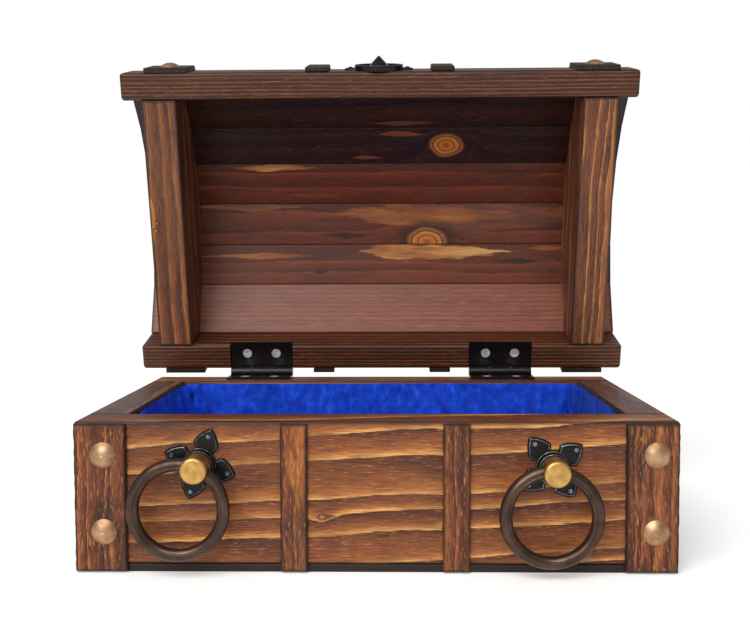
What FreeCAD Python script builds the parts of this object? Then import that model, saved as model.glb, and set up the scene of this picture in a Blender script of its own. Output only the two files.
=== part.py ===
# Treasure-chest style box of burnt pine boards with a barrel-top lid, in millimetres.
# World frame: X to the right, Y to the back, Z up, origin at the middle of the underside.
# The lid stands open. Lid pieces are drawn as if closed, about the hinge axis,
# and their placement swings them open.
import FreeCAD
import Part
import Sketcher
import math
import os
import re

SIZES = [
    ("box_width", "300", "base over its side boards"),
    ("box_depth", "184.5", "base over its front and back boards"),
    ("box_height", "75.7", "underside to rim"),
    ("wall_long", "25", "front and back board thickness"),
    ("wall_side", "21.5", "side board thickness"),
    ("floor_thick", "4", "bottom board thickness"),
    ("edge_round", "1.2", "worn edge of the thick boards"),
    ("strap_thick", "3", "all straps"),
    ("strap_wide", "26.8", "end strap width"),
    ("strap_narrow", "14.2", "middle strap width"),
    ("strap_mid", "40.3", "middle strap centre from the middle"),
    ("strap_foot", "0.5", "strap ends kept short of underside and rim"),
    ("strap_round", "0.6", "worn edge of straps and thin boards"),
    ("strap_end", "=(box_width - strap_wide) / 2", "end strap centre from the middle"),
    ("nail_radius", "6.4", "dome nail head"),
    ("nail_rise", "2.6", "dome nail head height"),
    ("nail_pin", "1", "dome nail shank radius"),
    ("nail_reach", "14", "dome nail shank length"),
    ("nail_upper", "59.5", "upper row of dome nails above the underside"),
    ("nail_lower", "21", "lower row of dome nails above the underside"),
    ("nail_lid", "14", "lid dome nails above the lid's underside"),
    ("nail_shift", "1.7", "base dome nails to the right of their straps' middle"),
    ("lid_end_shift", "2.9", "left end strap of the lid nearer the middle than the base's"),
    ("lid_mid_shift", "1.5", "left middle strap of the lid nearer the middle than the base's"),
    ("lid_nail_shift", "0.7", "left lid dome nail to the right of its strap's middle"),
    ("hole_slack", "0.05", "radial slack round nails, pins and screws"),
    ("hole_spare", "0.5", "blind holes deeper than what stands in them"),
    ("pull_left", "-87", "left ring pull from the middle"),
    ("pull_left_up", "54.7", "left ring pull above the underside"),
    ("pull_right", "87.3", "right ring pull from the middle"),
    ("pull_right_up", "53.2", "right ring pull above the underside"),
    ("plate_left_turn", "18.5", "left plate turned clockwise from the front"),
    ("plate_right_turn", "53", "right plate turned clockwise from the front"),
    ("ring_left_turn", "23.6", "left ring hangs clockwise of straight down"),
    ("ring_right_turn", "4", "right ring hangs clockwise of straight down"),
    ("plate_thick", "1.6", "back plate thickness"),
    ("plate_reach", "18.8", "back plate centre to petal tip"),
    ("neck_half", "4", "half width of a petal at its neck"),
    ("neck_out", "6.4", "petal neck from the plate centre"),
    ("petal_half", "6.6", "half width of a petal at its shoulders"),
    ("petal_shoulder", "9.7", "petal shoulders from the plate centre"),
    ("petal_curve", "15", "radius of a petal's sides"),
    ("plate_bevel", "1", "bevel round the plate's front"),
    ("boss_radius", "8.2", "round boss of the back plate"),
    ("boss_rise", "1.4", "boss above the plate"),
    ("collar_radius", "7.3", "collar on the boss, under the post"),
    ("collar_rise", "3.2", "collar above the boss"),
    ("plate_pin_out", "14.6", "plate pins from the plate centre"),
    ("pin_head", "1.1", "plate pin head radius"),
    ("pin_rise", "0.6", "plate pin head height"),
    ("pin_stem", "0.5", "plate pin stem radius"),
    ("pin_reach", "6", "plate pin stem length"),
    ("post_radius", "6.6", "brass post"),
    ("post_out", "19", "post end in front of the board"),
    ("post_round", "1.7", "rounded end of the post"),
    ("spigot_radius", "3", "post tail in the board"),
    ("spigot_reach", "14", "post tail length behind the board face"),
    ("bore_out", "11.6", "cross bore in front of the board"),
    ("ring_radius", "22.3", "ring centre line"),
    ("wire_radius", "3.2", "ring wire"),
    ("ring_slack", "0.3", "ring to cross bore"),
    ("bore_spare", "0.8", "cross bore cut beyond the post"),
    ("bore_half", "=post_radius + bore_spare", "half length of the cross bore cut"),
    ("bore_curve", "=ring_radius - wire_radius - ring_slack", "flare of the cross bore"),
    ("bore_mouth", "=ring_radius - sqrt(bore_curve ^ 2 - bore_half ^ 2)", "flare at its ends"),
    ("ring_line", "0.45", "turned line round the ring, radius of cut"),
    ("ring_line_in", "0.9", "turned line inside the wire's middle"),
    ("overhang", "12.6", "lid beyond the base at front and sides"),
    ("lid_length", "=box_width + 2 * overhang", "lid rails and planks"),
    ("lid_depth", "=box_depth + overhang", "lid over its rails"),
    ("lid_open", "76", "lid swung open from level"),
    ("rail_thick", "17", "lid rails, front to back"),
    ("rail_height", "28", "inner face of the lid rails"),
    ("rail_round", "2.2", "worn edge of the lid rails"),
    ("end_thick", "22", "lid end boards"),
    ("arch_height", "57", "lid underside to the top of the hollow"),
    ("plank_thick", "11", "lid planks"),
    ("seam_one", "0.2", "plank seams, share of the arch from the back"),
    ("seam_two", "0.36", "second seam"),
    ("seam_three", "0.525", "third seam"),
    ("seam_four", "0.69", "fourth seam"),
    ("seam_five", "0.845", "fifth seam"),
    ("half_span", "=lid_depth / 2 - rail_thick", "half of the arch's inner span"),
    ("arch_rise", "=arch_height - rail_height", "rise of the inner arch"),
    ("arch_in", "=(half_span ^ 2 + arch_rise ^ 2) / (2 * arch_rise)", "inner arch radius"),
    ("arch_out", "=arch_in + plank_thick", "outer arch radius"),
    ("arch_strap", "=arch_out + strap_thick", "outside of the lid straps"),
    ("arch_half", "=asin(half_span / arch_in)", "half angle of the arch"),
    ("hinge_mid", "81", "hinge centre from the middle"),
    ("hinge_length", "42", "hinge leaf along the joint"),
    ("leaf_reach", "20.5", "hinge leaf from its axis"),
    ("leaf_thick", "1.5", "hinge leaf"),
    ("leaf_gap", "0.5", "leaf edge to the other leaf's knuckles"),
    ("barrel_radius", "3.2", "hinge knuckles"),
    ("barrel_pin", "1.6", "hinge pin radius"),
    ("barrel_run", "0.05", "running slack on the hinge pin"),
    ("barrel_side", "0.16", "half of the gap between knuckles"),
    ("knuckle_length", "=hinge_length / 3", "one knuckle"),
    ("hinge_back", "2", "hinge axis behind the back board"),
    ("dado_depth", "3.4", "lid leaf let into the back rail"),
    ("dado_side", "0.3", "dado wider than the leaf on each side"),
    ("screw_pitch", "19.6", "hinge screws along the joint"),
    ("screw_in", "12.6", "hinge screws from the axis"),
    ("screw_head", "3.1", "screw head radius"),
    ("screw_stem", "1.4", "screw shank radius"),
    ("screw_reach", "13", "screw below its head"),
    ("cross_wide", "0.8", "cross recess width"),
    ("cross_half", "1.9", "cross recess half length"),
    ("cross_deep", "0.9", "cross recess depth"),
    ("hinge_y", "=box_depth / 2 + hinge_back", "hinge axis"),
    ("hinge_z", "=box_height + barrel_radius", "hinge axis"),
    ("lid_low", "=barrel_radius - dado_depth", "lid underside from the axis"),
    ("rail_back", "=-hinge_back", "outside of the back rail from the axis"),
    ("lid_mid", "=rail_back - lid_depth / 2", "middle of the lid from the axis"),
    ("lid_front", "=rail_back - lid_depth", "outside of the front rail from the axis"),
    ("arch_z", "=lid_low + arch_height - arch_in", "centre of the arch from the axis"),
    ("crest_up", "14", "lid pull plate centre above the lid's underside"),
    ("crest_wing", "22", "lid pull plate centre to wing tip"),
    ("crest_disc", "15.3", "dished disc of the lid pull plate"),
    ("crest_rim", "1.4", "width of the disc's rim"),
    ("crest_dish", "1.8", "rim above the dish"),
    ("wing_half", "5", "half width of a wing where it leaves the disc"),
    ("wing_root", "13", "wing shoulders from the centre"),
    ("crest_pin", "18", "lid pull plate pins from the centre"),
    ("crest_half", "7", "half of the pyramid stud's base"),
    ("crest_rise", "7.2", "pyramid stud height"),
    ("crest_flat", "0.4", "half of the flat on top of the stud"),
    ("crest_stem", "1.5", "pyramid stud stem radius"),
    ("crest_reach", "10", "pyramid stud stem in the rail"),
    ("cloth_thick", "2.4", "lining"),
    ("cloth_gap", "0.3", "lining clear of the boards and of its neighbours"),
    ("cloth_drop", "1.6", "lining top below the rim"),
]

BODY_FRONT = "-box_depth / 2"
NEAR = 1e-4
ALIAS = r"[a-z]+(?:_[a-z]+)+"
NO_TURN = ("0; 0; 1", "0")
TO_RIGHT = ("0; 1; 0", "90")
TO_BACK = ("-1; 0; 0", "90")
LID_TURN = ("-1; 0; 0", "lid_open")

doc = FreeCAD.newDocument("chest")
sheet = doc.addObject("Spreadsheet::Sheet", "dims")
for row, (alias, value, note) in enumerate(SIZES, start=1):
    sheet.set("A%d" % row, note)
    sheet.set("B%d" % row, value)
    sheet.setAlias("B%d" % row, alias)
doc.recompute()

parts = []


def bound(text):
    """Turn a formula in sheet names into an expression on the sheet."""
    return re.sub(ALIAS, lambda found: "dims." + found.group(0), text)


def value_of(text):
    """Present value of a formula in sheet names."""
    return float(sheet.evalExpression(bound(text)))


def place(x, y, z, turn=NO_TURN):
    """Formula of a placement: a point and a turn (axis, angle)."""
    return "placement(vector(%s; %s; %s); rotation(vector(%s); %s))" % (x, y, z, turn[0], turn[1])


def lid_y(y, z):
    """World Y of a point given about the hinge axis on the closed lid."""
    return "hinge_y + (%s) * cos(lid_open) + (%s) * sin(lid_open)" % (y, z)


def lid_z(y, z):
    """World Z of a point given about the hinge axis on the closed lid."""
    return "hinge_z - (%s) * sin(lid_open) + (%s) * cos(lid_open)" % (y, z)


def lid_place(x, y, z, turn=LID_TURN):
    """Formula of a placement on the lid, swung open with it."""
    return place(x, lid_y(y, z), lid_z(y, z), turn)


def body(label, where, kept=True):
    """New body with a placement tied to the sheet."""
    item = doc.addObject("PartDesign::Body", label)
    item.Label = label
    item.setExpression("Placement", bound(where))
    if kept:
        parts.append(item)
    return item


def step(item, kind, name):
    """New feature at the end of a body."""
    return item.newObject("PartDesign::" + kind, item.Label + "_" + name)


def primitive(item, kind, name, sizes, where):
    """Primitive feature with its sizes and placement tied to the sheet."""
    made = step(item, kind, name)
    for prop, text in sizes.items():
        made.setExpression(prop, bound(text))
    made.setExpression("Placement", bound(where))
    return made


def block(item, name, size, corner, cut=False):
    """Box with a corner and three sizes."""
    kind = "SubtractiveBox" if cut else "AdditiveBox"
    sizes = dict(zip(("Length", "Width", "Height"), size))
    return primitive(item, kind, name, sizes, place(*corner))


def rod(item, name, radius, length, base, turn=NO_TURN, cut=False):
    """Cylinder from a base point along the turned Z axis."""
    kind = "SubtractiveCylinder" if cut else "AdditiveCylinder"
    return primitive(item, kind, name, {"Radius": radius, "Height": length}, place(*base, turn))


def soften(item, radius):
    """Round every edge of a body as it stands."""
    before = item.Tip
    made = step(item, "Fillet", "soften")
    made.Base = (before, ["Edge1"])
    made.UseAllEdges = True
    made.setExpression("Radius", bound(radius))
    return made


def sketch_on(item, name, plane, lift="0"):
    """Sketch on one of the body's base planes, lifted along its normal."""
    made = item.newObject("Sketcher::SketchObject", item.Label + "_" + name)
    support = [found for found in item.Origin.OriginFeatures if found.Role == plane][0]
    made.AttachmentSupport = [(support, "")]
    made.MapMode = "FlatFace"
    made.setExpression("AttachmentOffset.Base.z", bound(lift))
    return made


def fix_point(made, geo, spot, x, y, tag):
    """Tie a sketch point to two sheet formulas."""
    for way, text, axis in (("DistanceX", x, -2), ("DistanceY", y, -1)):
        if text == "0":
            made.addConstraint(Sketcher.Constraint("PointOnObject", geo, spot, axis))
            continue
        found = made.addConstraint(Sketcher.Constraint(way, -1, 1, geo, spot, value_of(text)))
        made.renameConstraint(found, tag + way)
        made.setExpression("Constraints." + tag + way, bound(text))


def fix_radius(made, geo, text, tag):
    """Tie a sketch radius to a sheet formula."""
    found = made.addConstraint(Sketcher.Constraint("Radius", geo, value_of(text)))
    made.renameConstraint(found, tag + "Radius")
    made.setExpression("Constraints." + tag + "Radius", bound(text))


def arc_between(first, last, radius, side):
    """Arc from one point to another, bulging to the left (1) or right (-1) of the way."""
    way = last - first
    half = way.Length / 2
    rise = radius - math.sqrt(radius ** 2 - half ** 2)
    normal = FreeCAD.Vector(-way.y, way.x, 0).normalize()
    return Part.Arc(first, (first + last) / 2 + normal * (side * rise), last)


def outline(made, points, arcs=None):
    """Closed outline through points given as formulas; arcs maps an edge to (radius, side)."""
    arcs = arcs or {}
    spots = [FreeCAD.Vector(value_of(x), value_of(y), 0) for x, y in points]
    ends = []
    for edge, first in enumerate(spots):
        last = spots[(edge + 1) % len(spots)]
        if edge in arcs:
            radius, side = arcs[edge]
            geo = made.addGeometry(arc_between(first, last, value_of(radius), side))
            fix_radius(made, geo, radius, "edge%d" % edge)
        else:
            geo = made.addGeometry(Part.LineSegment(first, last))
        start = 1 if made.getPoint(geo, 1).distanceToPoint(first) < NEAR else 2
        ends.append((geo, start, 3 - start))
    for edge, (geo, start, _) in enumerate(ends):
        other, _, stop = ends[edge - 1]
        made.addConstraint(Sketcher.Constraint("Coincident", other, stop, geo, start))
        fix_point(made, geo, start, points[edge][0], points[edge][1], "point%d" % edge)
    return made


def pad(item, made, length, middle=True, name="pad"):
    """Pad a sketch, evenly to both sides or along its normal."""
    result = step(item, "Pad", name)
    result.Profile = made
    result.setExpression("Length", bound(length))
    result.Midplane = middle
    return result


def drill(item, name, plane, centres, radius, depth, lift="0", reverse=False):
    """Round holes of one size, cut against the plane's normal."""
    made = sketch_on(item, name + "_marks", plane, lift)
    for count, (x, y) in enumerate(centres):
        spot = FreeCAD.Vector(value_of(x), value_of(y), 0)
        circle = Part.Circle(spot, FreeCAD.Vector(0, 0, 1), value_of(radius))
        geo = made.addGeometry(circle)
        fix_point(made, geo, 3, x, y, "hole%d" % count)
        fix_radius(made, geo, radius, "hole%d" % count)
    doc.recompute()
    before = item.Shape.Volume
    result = step(item, "Pocket", name)
    result.Profile = made
    result.setExpression("Length", bound(depth))
    result.Reversed = reverse
    doc.recompute()
    if not item.Shape.Volume < before:
        raise RuntimeError(item.Label + ": holes " + name + " cut nothing")
    return result


def turn_profile(item, points, arcs=None, cut=False, name="turned"):
    """Revolve an outline about the body's Y axis, or about the sketch's X axis to cut."""
    made = sketch_on(item, name + "_section", "XY_Plane")
    outline(made, points, arcs)
    result = step(item, "Groove" if cut else "Revolution", name)
    result.Profile = made
    result.ReferenceAxis = (made, ["H_Axis" if cut else "V_Axis"])
    result.Angle = 360
    return made


def group(label, template, places):
    """One node of several like pieces, each a placed copy of the template."""
    copies = []
    for count, where in enumerate(places, start=1):
        copy = doc.addObject("App::Link", "%s_%d" % (label, count))
        copy.LinkedObject = template
        copy.setExpression("Placement", bound(where))
        copies.append(copy)
    made = doc.addObject("Part::Compound", label)
    made.Label = label
    made.Links = copies
    parts.append(made)
    return made


def around(centre_x, centre_z, out, turn, quarter):
    """World X and Z formulas of a point turned about a plate centre, clockwise from the front."""
    angle = "(%s + %d * 90)" % (turn, quarter)
    x = "%s + %s * sin%s" % (centre_x, out, angle)
    z = "%s + %s * cos%s" % (centre_z, out, angle)
    return x, z


def petals(item, name, points, occurrences):
    """Pointed petals round the plate centre, padded to the front, with bowed sides at the tip."""
    made = sketch_on(item, name + "_outline", "XZ_Plane")
    tip = len(points) // 2
    outline(made, points, {tip - 1: ("petal_curve", -1), tip: ("petal_curve", -1)})
    leaf_pad = pad(item, made, "plate_thick", False, name)
    result = step(item, "PolarPattern", name + "_round")
    result.Originals = [leaf_pad]
    result.Axis = (made, ["N_Axis"])
    result.Angle = 360
    result.Occurrences = occurrences
    item.Tip = result
    return result


def bevel_front(item, depth, hub):
    """Bevel the outer edges of a plate's front face, but not the foot of its round hub."""
    doc.recompute()
    front = -value_of("plate_thick")
    before = item.Tip
    names = []
    for count, edge in enumerate(before.Shape.Edges, start=1):
        box = edge.BoundBox
        level = abs(box.YMin - front) < NEAR and abs(box.YMax - front) < NEAR
        curve = edge.Curve
        foot = isinstance(curve, Part.Circle) and abs(curve.Radius - value_of(hub)) < NEAR
        if level and not foot:
            names.append("Edge%d" % count)
    made = step(item, "Chamfer", "bevel")
    made.Base = (before, names)
    made.setExpression("Size", bound(depth))
    return made


PULLS = {
    "left": ("pull_left", "pull_left_up", "plate_left_turn", "ring_left_turn"),
    "right": ("pull_right", "pull_right_up", "plate_right_turn", "ring_right_turn"),
}
STRAPS = {
    "left_end": ("-strap_end", "strap_wide"),
    "left_middle": ("-strap_mid", "strap_narrow"),
    "right_middle": ("strap_mid", "strap_narrow"),
    "right_end": ("strap_end", "strap_wide"),
}
HINGES = {"left": "-hinge_mid", "right": "hinge_mid"}
LID_STRAPS = dict(STRAPS)
LID_STRAPS["left_end"] = ("-strap_end + lid_end_shift", "strap_wide")
LID_STRAPS["left_middle"] = ("-strap_mid + lid_mid_shift", "strap_narrow")
NAIL_COLUMNS = ("-strap_end + nail_shift", "strap_end + nail_shift")
LID_NAILS = {"left_end": "lid_nail_shift", "right_end": "0"}
LID_NAIL_COLUMNS = [LID_STRAPS[name][0] + " + " + shift for name, shift in LID_NAILS.items()]
NAIL_ROWS = ("nail_upper", "nail_lower")
SCREW_SIDES = ("-screw_pitch / 2", "screw_pitch / 2")
NAIL_HOLE = "nail_pin + hole_slack"
PIN_HOLE = "pin_stem + hole_slack"
TAIL_HOLE = "spigot_radius + hole_slack"
STEM_HOLE = "crest_stem + hole_slack"
SCREW_HOLE = "screw_stem + hole_slack"
NAIL_DEEP = "nail_reach - strap_thick + hole_spare"
PIN_DEEP = "pin_reach - plate_thick + hole_spare"
SCREW_DEEP = "screw_reach - leaf_thick + hole_spare"
PETAL = [("0", "0"), ("neck_half", "neck_out"), ("petal_half", "petal_shoulder"),
         ("0", "plate_reach"), ("-petal_half", "petal_shoulder"), ("-neck_half", "neck_out")]
WING = [("0", "0"), ("wing_root", "-wing_half"), ("crest_wing", "0"), ("wing_root", "wing_half")]
BOSS_OUT = "plate_thick + boss_rise"
COLLAR_OUT = "plate_thick + boss_rise + collar_rise"


def make_base_boards():
    """Front, back, side and bottom boards of the base."""
    wall = "box_height - floor_thick"
    front = body("base_front_board", place("0", BODY_FRONT, "floor_thick"))
    block(front, "plank", ("box_width", "wall_long", wall), ("-box_width / 2", "0", "0"))
    soften(front, "edge_round")
    nails = [(x, row + " - floor_thick") for x in NAIL_COLUMNS for row in NAIL_ROWS]
    drill(front, "nail_holes", "XZ_Plane", nails, NAIL_HOLE, NAIL_DEEP)
    tails = [(x, up + " - floor_thick") for x, up, _, _ in PULLS.values()]
    drill(front, "tail_holes", "XZ_Plane", tails, TAIL_HOLE, "spigot_reach + hole_spare")
    pins = []
    for x, up, turn, _ in PULLS.values():
        for quarter in range(4):
            pins.append(around(x, up + " - floor_thick", "plate_pin_out", turn, quarter))
    drill(front, "pin_holes", "XZ_Plane", pins, PIN_HOLE, PIN_DEEP)

    back = body("base_back_board", place("0", "box_depth / 2 - wall_long", "floor_thick"))
    block(back, "plank", ("box_width", "wall_long", wall), ("-box_width / 2", "0", "0"))
    soften(back, "edge_round")
    row = "wall_long + hinge_back - screw_in"
    screws = [(mid + " + " + side, row) for mid in HINGES.values() for side in SCREW_SIDES]
    drill(back, "screw_holes", "XY_Plane", screws, SCREW_HOLE, SCREW_DEEP, wall)

    for side, x in (("left", "-box_width / 2"), ("right", "box_width / 2 - wall_side")):
        board = body("base_%s_board" % side, place(x, BODY_FRONT + " + wall_long", "floor_thick"))
        block(board, "plank", ("wall_side", "box_depth - 2 * wall_long", wall), ("0", "0", "0"))
        soften(board, "edge_round")

    bottom = body("base_bottom_board", place("0", "0", "0"))
    size = ("box_width", "box_depth", "floor_thick")
    block(bottom, "plank", size, ("-box_width / 2", BODY_FRONT, "0"))
    soften(bottom, "strap_round")


def make_base_straps():
    """Upright straps on the front and back of the base."""
    for face, y in (("front", BODY_FRONT + " - strap_thick"), ("back", "box_depth / 2")):
        for name, (x, width) in STRAPS.items():
            strap = body("base_%s_strap_%s" % (face, name), place(x, y, "strap_foot"))
            size = (width, "strap_thick", "box_height - 2 * strap_foot")
            block(strap, "strip", size, ("-%s / 2" % width, "0", "0"))
            soften(strap, "strap_round")
            if face == "front" and name.endswith("end"):
                marks = [("nail_shift", row + " - strap_foot") for row in NAIL_ROWS]
                drill(strap, "nail_holes", "XZ_Plane", marks, NAIL_HOLE, "strap_thick")


def make_nails():
    """Dome nails of the base front and of the lid front."""
    nail = body("dome_nail", place("0", "0", "0"), False)
    points = [("0", "nail_reach"), ("nail_pin", "nail_reach"), ("nail_pin", "0"),
              ("nail_radius", "0"), ("0", "-nail_rise")]
    curve = "(nail_radius ^ 2 + nail_rise ^ 2) / (2 * nail_rise)"
    turn_profile(nail, points, {3: (curve, 1)})
    front = BODY_FRONT + " - strap_thick"
    group("base_dome_nails", nail, [place(x, front, row) for x in NAIL_COLUMNS for row in NAIL_ROWS])
    face = "lid_front - strap_thick"
    group("lid_dome_nails", nail, [lid_place(x, face, "lid_low + nail_lid") for x in LID_NAIL_COLUMNS])


def make_pulls():
    """Ring pulls: back plates with pins, posts with a flared cross bore, and the rings."""
    pin = body("plate_pin", place("0", "0", "0"), False)
    rod(pin, "head", "pin_head", "pin_rise", ("0", "-pin_rise", "0"), TO_BACK)
    rod(pin, "stem", "pin_stem", "pin_reach", ("0", "0", "0"), TO_BACK)
    pins = []
    for side, (x, up, plate_turn, ring_turn) in PULLS.items():
        plate = body("%s_pull_plate" % side, place(x, BODY_FRONT, up, ("0; 1; 0", plate_turn)))
        rod(plate, "boss", "boss_radius", BOSS_OUT, ("0", "-(%s)" % BOSS_OUT, "0"), TO_BACK)
        petals(plate, "petal", PETAL, 4)
        bevel_front(plate, "plate_bevel", "boss_radius")
        rod(plate, "collar", "collar_radius", COLLAR_OUT, ("0", "-(%s)" % COLLAR_OUT, "0"), TO_BACK)
        drill(plate, "tail_hole", "XZ_Plane", [("0", "0")], TAIL_HOLE, COLLAR_OUT, "0", True)
        marks = [("0", "plate_pin_out"), ("plate_pin_out", "0"),
                 ("0", "-plate_pin_out"), ("-plate_pin_out", "0")]
        drill(plate, "pin_holes", "XZ_Plane", marks, PIN_HOLE, "plate_thick", "0", True)
        for quarter in range(4):
            pin_x, pin_z = around(x, up, "plate_pin_out", plate_turn, quarter)
            pins.append(place(pin_x, BODY_FRONT + " - plate_thick", pin_z))

        post = body("%s_pull_post" % side, place(x, BODY_FRONT, up, ("0; 1; 0", ring_turn)))
        foot = "-(%s)" % COLLAR_OUT
        points = [("0", "spigot_reach"), ("spigot_radius", "spigot_reach"), ("spigot_radius", foot),
                  ("post_radius", foot), ("post_radius", "-post_out + post_round"),
                  ("post_radius - post_round", "-post_out"), ("0", "-post_out")]
        turn_profile(post, points, {4: ("post_round", 1)})
        doc.recompute()
        before = post.Shape.Volume
        mouth = [("-bore_half", "0"), ("bore_half", "0"),
                 ("bore_half", "bore_mouth"), ("-bore_half", "bore_mouth")]
        section = turn_profile(post, mouth, {2: ("bore_curve", 1)}, True, "flared_bore")
        section.setExpression("AttachmentOffset.Base.y", bound("-bore_out"))
        doc.recompute()
        if not post.Shape.Volume < before:
            raise RuntimeError(post.Label + ": the cross bore cut nothing")

        hang = place(x, BODY_FRONT + " - bore_out", up, ("0; 1; 0", ring_turn))
        ring = body("%s_pull_ring" % side, hang)
        centre = place("0", "0", "-ring_radius", ("1; 0; 0", "90"))
        wire = {"Radius1": "ring_radius", "Radius2": "wire_radius"}
        primitive(ring, "AdditiveTorus", "wire", wire, centre)
        line = place("0", "-wire_radius", "-ring_radius", ("1; 0; 0", "90"))
        sizes = {"Radius1": "ring_radius - ring_line_in", "Radius2": "ring_line"}
        primitive(ring, "SubtractiveTorus", "line", sizes, line)
    group("pull_plate_pins", pin, pins)


def on_arch(radius, angle):
    """Section point of the closed lid on an arch, at an angle from its top toward the front."""
    return "lid_mid - %s * sin%s" % (radius, angle), "arch_z + %s * cos%s" % (radius, angle)


def make_lid_wood():
    """Rails, end boards, planks and bent straps of the lid."""
    top = "lid_low + rail_height"
    knee = ("lid_mid %s arch_out * sin(arch_half)", "arch_z + arch_out * cos(arch_half)")
    brow = "arch_z + sqrt(arch_out ^ 2 - (lid_depth / 2) ^ 2)"
    home = place("0", "hinge_y", "hinge_z", LID_TURN)
    for name, outer, inner, sign, side in (("back", "rail_back", "rail_back - rail_thick", "+", -1),
                                           ("front", "lid_front", "lid_front + rail_thick", "-", 1)):
        rail = body("lid_%s_rail" % name, home)
        section = sketch_on(rail, "section", "YZ_Plane")
        points = [(outer, "lid_low"), (inner, "lid_low"), (inner, top),
                  (knee[0] % sign, knee[1]), (outer, brow)]
        outline(section, points, {3: ("arch_out", -side)})
        pad(rail, section, "lid_length")
        soften(rail, "rail_round")
        if name == "back":
            for hand, mid in HINGES.items():
                size = ("hinge_length + 2 * dado_side", "rail_thick + hinge_back",
                        "dado_depth + hole_spare")
                corner = (mid + " - hinge_length / 2 - dado_side",
                          "rail_back - rail_thick - hinge_back / 2", "lid_low - hole_spare")
                block(rail, hand + "_dado", size, corner, True)
            marks = [(mid + " + " + at, "-screw_in") for mid in HINGES.values() for at in SCREW_SIDES]
            drill(rail, "screw_holes", "XY_Plane", marks, SCREW_HOLE, SCREW_DEEP, "barrel_radius", True)
        else:
            face = "-lid_front"
            marks = [(x, "lid_low + nail_lid") for x in LID_NAIL_COLUMNS]
            drill(rail, "nail_holes", "XZ_Plane", marks, NAIL_HOLE, NAIL_DEEP, face)
            marks = [("-crest_pin", "lid_low + crest_up"), ("crest_pin", "lid_low + crest_up")]
            drill(rail, "pin_holes", "XZ_Plane", marks, PIN_HOLE, PIN_DEEP, face)
            marks = [("0", "lid_low + crest_up")]
            drill(rail, "stem_hole", "XZ_Plane", marks, STEM_HOLE, "crest_reach", face)

    shares = ("0", "seam_one", "seam_two", "seam_three", "seam_four", "seam_five", "1")
    angles = ["(arch_half * (2 * %s - 1))" % share for share in shares]
    inside = [on_arch("arch_in", angle) for angle in angles]
    outside = [on_arch("arch_out", angle) for angle in angles]
    for number in range(len(shares) - 1):
        plank = body("lid_plank_%d" % (number + 1), home)
        section = sketch_on(plank, "section", "YZ_Plane")
        points = [inside[number], inside[number + 1], outside[number + 1], outside[number]]
        outline(section, points, {2: ("arch_out", -1)})
        pad(plank, section, "lid_length")
        soften(plank, "strap_round")

    reach = "(box_width - end_thick) / 2"
    for side, x in (("left", "-" + reach), ("right", reach)):
        board = body("lid_%s_end" % side, place(x, "hinge_y", "hinge_z", LID_TURN))
        section = sketch_on(board, "section", "YZ_Plane")
        feet = ("rail_back - rail_thick", "lid_low"), ("lid_front + rail_thick", "lid_low")
        outline(section, [feet[0]] + inside + [feet[1]])
        pad(board, section, "end_thick")
        soften(board, "strap_round")

    low = "lid_low + strap_foot"
    crown = "arch_z + sqrt(arch_strap ^ 2 - (lid_depth / 2 + strap_thick) ^ 2)"
    for name, (x, width) in LID_STRAPS.items():
        strap = body("lid_strap_%s" % name, place(x, "hinge_y", "hinge_z", LID_TURN))
        section = sketch_on(strap, "section", "YZ_Plane")
        points = [("rail_back", low), ("rail_back", brow), ("lid_front", brow), ("lid_front", low),
                  ("lid_front - strap_thick", low), ("lid_front - strap_thick", crown),
                  ("rail_back + strap_thick", crown), ("rail_back + strap_thick", low)]
        outline(section, points, {1: ("arch_out", -1), 5: ("arch_strap", 1)})
        pad(strap, section, width)
        if name in LID_NAILS:
            marks = [(LID_NAILS[name], "lid_low + nail_lid")]
            face = "-lid_front + strap_thick"
            drill(strap, "nail_hole", "XZ_Plane", marks, NAIL_HOLE, "strap_thick", face)


def make_crest():
    """Lid pull plate with its pyramid stud and pins."""
    up = "lid_low + crest_up"
    plate = body("lid_pull_plate", lid_place("0", "lid_front", up))
    thick = "plate_thick + crest_dish"
    rod(plate, "disc", "crest_disc", thick, ("0", "-(%s)" % thick, "0"), TO_BACK)
    petals(plate, "wing", WING, 2)
    bevel_front(plate, "plate_bevel", "crest_disc")
    dish = "crest_disc - crest_rim"
    drill(plate, "dish", "XZ_Plane", [("0", "0")], dish, "crest_dish", thick)
    drill(plate, "stem_hole", "XZ_Plane", [("0", "0")], STEM_HOLE, "plate_thick", "0", True)
    marks = [("-crest_pin", "0"), ("crest_pin", "0")]
    drill(plate, "pin_holes", "XZ_Plane", marks, PIN_HOLE, "plate_thick", "0", True)

    stud = body("lid_pull_stud", lid_place("0", "lid_front - plate_thick", up))
    sizes = {"Ymin": "0", "Ymax": "crest_rise"}
    for axis in ("X", "Z"):
        sizes.update({axis + "min": "-crest_half", axis + "max": "crest_half"})
        sizes.update({axis + "2min": "-crest_flat", axis + "2max": "crest_flat"})
    primitive(stud, "AdditiveWedge", "pyramid", sizes, place("0", "0", "0", ("0; 0; 1", "180")))
    rod(stud, "stem", "crest_stem", "crest_reach + plate_thick - hole_spare", ("0", "0", "0"), TO_BACK)

    pin = doc.getObject("plate_pin")
    face = "lid_front - plate_thick"
    group("lid_pull_pins", pin, [lid_place(x, face, up) for x in ("-crest_pin", "crest_pin")])


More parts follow.
